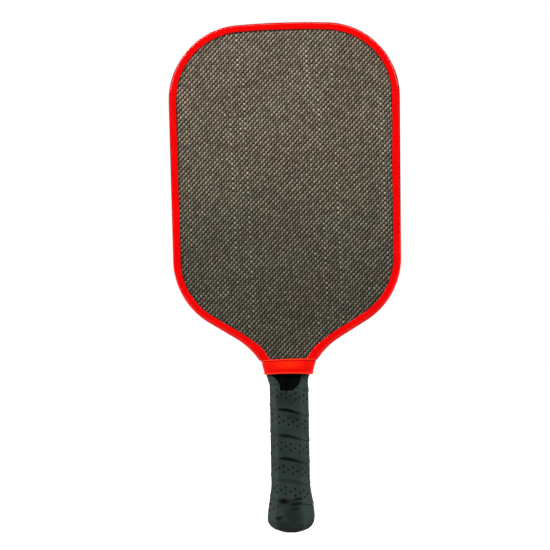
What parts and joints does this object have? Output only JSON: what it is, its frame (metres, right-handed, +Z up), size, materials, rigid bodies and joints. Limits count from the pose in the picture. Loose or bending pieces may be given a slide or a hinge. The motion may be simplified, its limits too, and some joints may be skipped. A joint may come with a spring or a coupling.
{
  "type": "pickleball paddle",
  "caption": "Long-faced pickleball paddle: carbon-faced honeycomb head in a red edge guard, octagonal perforated wrapped grip with flared butt and red throat collar.",
  "frame": {"origin": "middle of the grip on the handle's axis, 65 mm above the flat end of the butt", "axes": "+Z up the handle to the tip of the head, +X across the head to the right as the front face is seen, front face towards -Y"},
  "size_m": [0.1904, 0.0348, 0.4191],
  "materials": {
    "honeycomb": "translucent white polypropylene honeycomb",
    "veil": "thin resin-soaked polyester veil",
    "carbon_face": "plain-weave carbon cloth under clear resin, satin",
    "edge_guard": "glossy red thermoplastic polyurethane",
    "adhesive": "thin black double-sided tape",
    "pallet": "moulded black plastic",
    "butt_cap": "moulded black plastic, satin",
    "felt": "dark non-woven felt",
    "grip": "tacky dark grey-green polyurethane skin, perforated",
    "finishing_tape": "black vinyl tape",
    "collar": "smooth red rubber"
  },
  "bodies": {
    "root": {"honeycomb_core": "honeycomb", "front_core_veil": "veil", "back_core_veil": "veil", "front_face_sheet": "carbon_face", "back_face_sheet": "carbon_face", "edge_guard": "edge_guard", "edge_guard_adhesive": "adhesive", "front_handle_pallet": "pallet", "back_handle_pallet": "pallet", "butt_cap": "butt_cap", "grip_felt": "felt", "grip_tape": "grip", "finishing_tape": "finishing_tape", "collar": "collar"}
  },
  "joints": []
}
